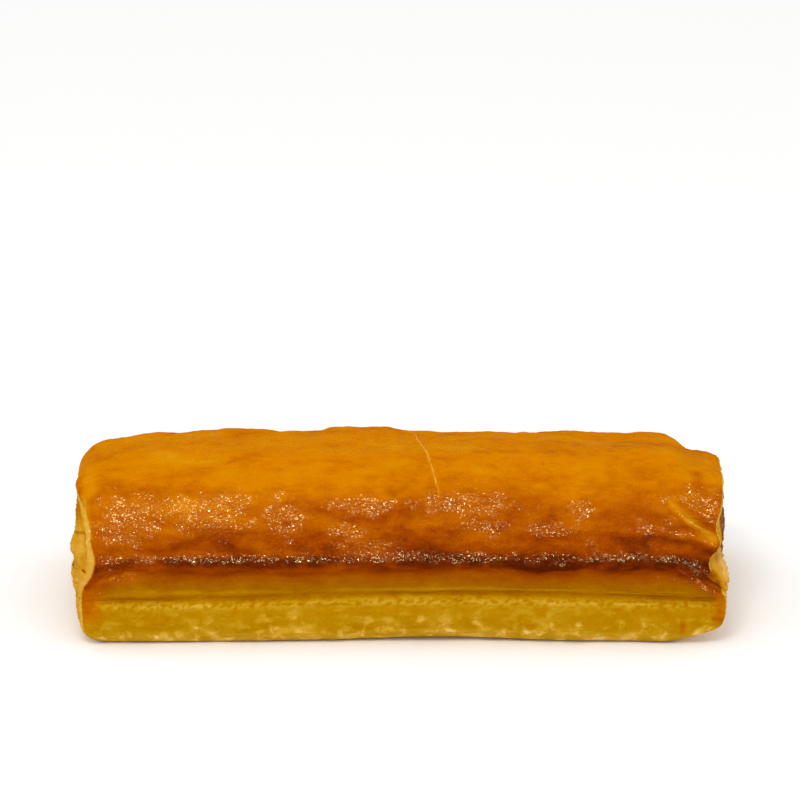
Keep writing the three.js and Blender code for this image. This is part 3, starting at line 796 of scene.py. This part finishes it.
class Nodes:
    """A material's node tree, with short calls that add and join nodes."""

    def __init__(self, name):
        self.material = bpy.data.materials.new(name)
        self.material.use_nodes = True
        self.tree = self.material.node_tree
        self.shader = self.tree.nodes["Principled BSDF"]
        self.place = self.add("ShaderNodeTexCoord").outputs["Object"]

    def add(self, kind, **settings):
        node = self.tree.nodes.new(kind)
        for key, value in settings.items():
            setattr(node, key, value)
        return node

    def set(self, socket, value):
        if isinstance(value, bpy.types.NodeSocket):
            self.tree.links.new(value, socket)
        else:
            socket.default_value = value

    def math(self, operation, a, b=0.0, clamp=False):
        node = self.add("ShaderNodeMath", operation=operation, use_clamp=clamp)
        self.set(node.inputs[0], a)
        self.set(node.inputs[1], b)
        return node.outputs[0]

    def attribute(self, name):
        return self.add("ShaderNodeAttribute", attribute_name=name).outputs["Fac"]

    def noise(self, size_mm, detail=3.0, stretch=(1, 1, 1), distortion=0.0):
        """Noise from -0.5 to 0.5 whose lumps are about size_mm across."""
        mapping = self.add("ShaderNodeMapping")
        self.set(mapping.inputs["Vector"], self.place)
        mapping.inputs["Scale"].default_value = stretch
        node = self.add("ShaderNodeTexNoise")
        self.set(node.inputs["Vector"], mapping.outputs[0])
        node.inputs["Scale"].default_value = 1 / (size_mm * MM)
        node.inputs["Detail"].default_value = detail
        node.inputs["Distortion"].default_value = distortion
        return self.math("SUBTRACT", node.outputs["Fac"], 0.5)

    def ramp(self, value, stops):
        node = self.add("ShaderNodeValToRGB")
        while len(node.color_ramp.elements) < len(stops):
            node.color_ramp.elements.new(0.5)
        for element, (place, colour) in zip(node.color_ramp.elements, stops):
            element.position = place
            element.color = colour
        self.set(node.inputs["Fac"], value)
        return node.outputs["Color"]

    def mixed(self, factor, a, b):
        node = self.add("ShaderNodeMix", data_type="RGBA")
        for socket, value in (("Factor", factor), ("A", a), ("B", b)):
            self.set(node.inputs[socket], value)
        return node.outputs["Result"]

    def spread(self, value, low, high, to_low, to_high):
        return map_range(self.tree, value, low, high, to_low, to_high)

    def bumped(self, height, distance_mm, strength, normal=None):
        node = self.add("ShaderNodeBump")
        self.set(node.inputs["Height"], height)
        self.set(node.inputs["Strength"], strength)
        node.inputs["Distance"].default_value = distance_mm * MM
        if normal is not None:
            self.set(node.inputs["Normal"], normal)
        return node.outputs["Normal"]


# Egg-washed and plain dough, from pale to nearly burnt
WASHED_STOPS = [
    (0.00, srgb(222, 190, 120)),
    (0.18, srgb(208, 158, 40)),
    (0.36, srgb(204, 130, 3)),
    (0.50, srgb(200, 117, 0)),
    (0.66, srgb(176, 90, 0)),
    (0.80, srgb(150, 63, 0)),
    (0.92, srgb(112, 40, 2)),
    (1.00, srgb(82, 26, 2)),
]
PLAIN_STOPS = [
    (0.00, srgb(222, 186, 104)),
    (0.08, srgb(208, 164, 62)),
    (0.16, srgb(198, 149, 40)),
    (0.24, srgb(179, 137, 20)),
    (0.32, srgb(170, 124, 2)),
    (0.42, srgb(163, 110, 0)),
    (0.54, srgb(148, 91, 0)),
    (0.70, srgb(137, 70, 0)),
    (0.85, srgb(122, 49, 0)),
    (1.00, srgb(88, 30, 2)),
]

# The leaves of the cut ends, from pale to nearly burnt
CUT_STOPS = [
    (0.00, srgb(222, 178, 96)),
    (0.12, srgb(206, 154, 56)),
    (0.26, srgb(198, 145, 34)),
    (0.40, srgb(184, 124, 12)),
    (0.60, srgb(164, 92, 4)),
    (0.80, srgb(112, 54, 4)),
    (1.00, srgb(66, 26, 4)),
]

CRACK_COLOUR = srgb(238, 184, 80)
CRACK_SHARE = 0.6
FLOUR = 0.13  # how much paler the plain dough is where flour stayed on it
# The hard egg wash is a clear coat in fine flecks; the dough below it mirrors nothing
WASH_WEIGHT = 0.38
WASH_LEAST = 0.03  # between the flecks
WASH_ROUGHNESS = 0.2
WASH_RIPPLE = 0.46  # in mm
DOUGH_ROUGHNESS = 0.3
DOUGH_GRAIN = 0.28  # in mm


def crack_line(n):
    """0 to 1 along the fine pale crack across the top, in dashes; places in mm from the part's origin."""
    where = n.add("ShaderNodeSeparateXYZ")
    n.set(where.inputs[0], n.place)
    x, y, z = (n.math("DIVIDE", where.outputs[axis], MM) for axis in "XYZ")
    straight = n.math("ADD", x, n.math("MULTIPLY", y, CRACK_SLANT))
    off = n.math("ABSOLUTE", n.math("ADD", n.math("SUBTRACT", straight, CRACK_X), n.noise(1.6, 2)))
    line = n.spread(off, 0.06, 0.24, 1, 0)
    dashes = n.spread(n.noise(1.1, 2), -0.15, 0.1, 0.25, 1)
    stretch = n.math("MULTIPLY", n.spread(y, -15, -11, 0, 1), n.spread(z, 24, 27, 0, 1))
    return n.math("MULTIPLY", n.math("MULTIPLY", line, dashes), stretch)


def browning(n, bake, gloss):
    """How brown the dough is, from 0 to 1, with finer mottles, specks and flour near the foot."""
    height = n.add("ShaderNodeSeparateXYZ")
    n.set(height.inputs[0], n.place)
    mottle = n.math("ADD", n.math("MULTIPLY", n.noise(7, 8, (0.45, 1, 1), distortion=0.5), 0.5),
                    n.math("MULTIPLY", n.noise(1.8, 3, (0.6, 1, 1)), 0.22))
    speck = n.math("MULTIPLY", n.noise(0.6, 3), 0.12)
    spots = n.math("MULTIPLY", n.math("ADD", mottle, speck), n.spread(gloss, 0, 1, 0.45, 1))
    foot = n.spread(height.outputs["Z"], 5 * MM, 9 * MM, 1, 0.15)
    flour = n.math("MULTIPLY", n.spread(n.noise(2.4, 6, distortion=0.4), 0.05, 0.13, 0, 1), foot)
    pale = n.math("MULTIPLY", flour, n.spread(gloss, 0.1, 0.3, FLOUR, 0))
    return n.math("SUBTRACT", n.math("ADD", bake, spots), pale, clamp=True)


def crust_colour(n, shade, gloss):
    skin = n.mixed(gloss, n.ramp(shade, PLAIN_STOPS), n.ramp(shade, WASHED_STOPS))
    leaves = n.mixed(n.attribute("cut"), skin, n.ramp(shade, CUT_STOPS))
    return n.mixed(n.math("MULTIPLY", crack_line(n), CRACK_SHARE), leaves, CRACK_COLOUR)


def add_egg_wash(n):
    """Gives the shader its glossy coat and returns the coat's ripples."""
    patches = n.math("MULTIPLY", n.noise(3, 3), 2.6)
    wet = n.spread(n.math("ADD", n.attribute("wet"), patches), 0.4, 0.9, 0.02, 1)
    flecks = n.spread(n.noise(0.65, 2), -0.02, 0.09, WASH_LEAST, WASH_WEIGHT)
    n.set(n.shader.inputs["Coat Weight"], n.math("MULTIPLY", wet, flecks))
    n.shader.inputs["Coat Roughness"].default_value = WASH_ROUGHNESS
    grain = n.noise(0.72, 1.0, (0.8, 1, 1), distortion=0.4)
    ripples = n.bumped(grain, WASH_RIPPLE, n.spread(wet, 0, 1, 0.5, 1))
    n.set(n.shader.inputs["Coat Normal"], ripples)
    return ripples


def crust_material():
    n = Nodes("crust")
    # bake holds the browning and, in places, painted shade in the leaf gaps, a painted shadow under the
    # fold's crest and painted highlights along the rims
    bake, gloss = n.attribute("bake"), n.attribute("gloss")
    n.set(n.shader.inputs["Base Color"], crust_colour(n, browning(n, bake, gloss), gloss))
    n.shader.inputs["Roughness"].default_value = DOUGH_ROUGHNESS
    n.shader.inputs["Specular IOR Level"].default_value = 0.0
    crumb = n.bumped(n.noise(1.0, 5), DOUGH_GRAIN, n.spread(gloss, 0, 1, 0.9, 0.1), add_egg_wash(n))
    n.set(n.shader.inputs["Normal"], crumb)
    return n.material


# Minced meat, from dark to pale
MEAT_STOPS = [
    (0.22, srgb(84, 42, 14)),
    (0.42, srgb(126, 72, 28)),
    (0.60, srgb(156, 100, 46)),
    (0.78, srgb(188, 138, 82)),
]


def meat_material():
    n = Nodes("meat")
    lumps = n.math("ADD", n.noise(2.6, 4, distortion=0.8), 0.5)
    n.set(n.shader.inputs["Base Color"], n.ramp(lumps, MEAT_STOPS))
    n.set(n.shader.inputs["Roughness"], n.spread(n.noise(1.2, 2), -0.3, 0.3, 0.3, 0.5))
    n.set(n.shader.inputs["Normal"], n.bumped(n.noise(0.9, 5), 0.3, 0.8))
    n.shader.inputs["Specular IOR Level"].default_value = 0.08
    return n.material


def dress(piece, material, node):
    piece.data.materials.append(material)
    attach(piece, "root")
    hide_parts(node)


# --- Camera, lights and floor -----------------------------------------------------------------
# Distances and sizes are in metres here unless they say otherwise, and angles in degrees
CAMERA_ELEVATION = 20
CAMERA_DISTANCE = 1.2
CAMERA_REACH = 20
SENSOR_WIDTH = 36  # in mm
FRAME_WIDTH = 0.1829  # width of what the camera sees at the roll
AIM_HEIGHT = 0.0482

# Lamps as elevation, azimuth, width and depth, watts, and whether glossy skin mirrors them
LAMPS = {
    "key": (50, -12, (0.30, 0.20), 1.9, False),
    "glint": (50, -12, (0.10, 0.06), 20, True),
    "side_glint": (48, 40, (0.08, 0.06), 15, True),
    "low_glint": (24, 10, (0.08, 0.05), 8, True),
}
LAMP_DISTANCE = 0.8
LAMP_AIM = (0, 0, 0.02)
LIGHT_COLOUR = (1.0, 0.98, 0.95)
MIRRORED_COLOUR = (1.0, 0.88, 0.40)

SKY_BRIGHTNESS = 0.95
SKY_COLOUR = (1, 1, 1, 1)
BACKDROP_BRIGHTNESS = 0.8
BACKDROP_COLOUR = (1, 0.84, 0.62, 1)
BACKDROP_TOP = 0.09  # how high it reaches, as the Z of a direction
BACKDROP_EDGE = (0.9, 0.98)  # where its sides fade out and where it is full, as the Y of a direction

FLOOR_HALF_SIZE = 3.0
FLOOR_COLOUR = (0.97, 0.97, 0.97, 1)
FLOOR_ROUGHNESS = 0.8
FLOOR_GLOSS = 0.1


def look_from(thing, elevation, azimuth, distance, target):
    """Places a camera or light that looks at target; azimuth 0 is the front, positive to +X."""
    up, side = math.radians(elevation), math.radians(azimuth)
    away = Vector((math.sin(side) * math.cos(up), -math.cos(side) * math.cos(up), math.sin(up)))
    thing.location = Vector(target) + away * distance
    thing.rotation_euler = away.to_track_quat("Z", "Y").to_euler()


def add_camera():
    data = bpy.data.cameras.new("camera")
    data.sensor_width = SENSOR_WIDTH
    data.lens = data.sensor_width * CAMERA_DISTANCE / FRAME_WIDTH
    data.clip_end = CAMERA_REACH
    camera = bpy.data.objects.new("camera", data)
    bpy.context.scene.collection.objects.link(camera)
    look_from(camera, CAMERA_ELEVATION, 0, CAMERA_DISTANCE, (0, 0, AIM_HEIGHT))
    bpy.context.scene.camera = camera


def add_softbox(name, elevation, azimuth, size, watts, mirrored):
    """A lamp that is either mirrored by glossy skin or only lights it evenly."""
    data = bpy.data.lights.new(name, "AREA")
    data.shape = "RECTANGLE"
    data.size, data.size_y = size
    data.energy = watts
    data.color = MIRRORED_COLOUR if mirrored else LIGHT_COLOUR
    light = bpy.data.objects.new(name, data)
    light.visible_diffuse = not mirrored
    light.visible_glossy = mirrored
    bpy.context.scene.collection.objects.link(light)
    look_from(light, elevation, azimuth, LAMP_DISTANCE, LAMP_AIM)


def add_world():
    """Even light all round; the glossy skin mirrors only a backdrop that stands low behind the roll."""
    world = bpy.data.worlds.new("studio")
    world.use_nodes = True
    tree = world.node_tree
    background = tree.nodes["Background"]
    where = tree.nodes.new("ShaderNodeSeparateXYZ")
    tree.links.new(tree.nodes.new("ShaderNodeTexCoord").outputs["Generated"], where.inputs[0])
    low = map_range(tree, where.outputs["Z"], BACKDROP_TOP, 0, 0, BACKDROP_BRIGHTNESS)
    behind = map_range(tree, where.outputs["Y"], *BACKDROP_EDGE, 0, low)
    path = tree.nodes.new("ShaderNodeLightPath")
    mirrored = path.outputs["Is Glossy Ray"]
    strength = map_range(tree, mirrored, 0, 1, SKY_BRIGHTNESS, behind)
    tree.links.new(strength, background.inputs["Strength"])
    tint = tree.nodes.new("ShaderNodeMix")
    tint.data_type = "RGBA"
    tree.links.new(mirrored, tint.inputs["Factor"])
    tint.inputs["A"].default_value = SKY_COLOUR
    tint.inputs["B"].default_value = BACKDROP_COLOUR
    tree.links.new(tint.outputs["Result"], background.inputs["Color"])
    bpy.context.scene.world = world


def add_floor():
    size = FLOOR_HALF_SIZE
    mesh = bpy.data.meshes.new("floor")
    corners = [(-size, -size, 0), (size, -size, 0), (size, size, 0), (-size, size, 0)]
    mesh.from_pydata(corners, [], [(0, 1, 2, 3)])
    floor = bpy.data.objects.new("floor", mesh)
    bpy.context.scene.collection.objects.link(floor)
    n = Nodes("floor")
    n.shader.inputs["Base Color"].default_value = FLOOR_COLOUR
    n.shader.inputs["Roughness"].default_value = FLOOR_ROUGHNESS
    n.shader.inputs["Specular IOR Level"].default_value = FLOOR_GLOSS
    mesh.materials.append(n.material)
    floor.visible_glossy = False  # the skin mirrors no white floor


def build():
    add_camera()
    for name, lamp in LAMPS.items():
        add_softbox(name, *lamp)
    add_world()
    add_floor()
    pastry, shift = make_pastry()
    dress(pastry, crust_material(), "pastry")
    dress(make_meat(shift), meat_material(), "filling")
    bpy.context.scene.view_settings.view_transform = "Standard"


build()
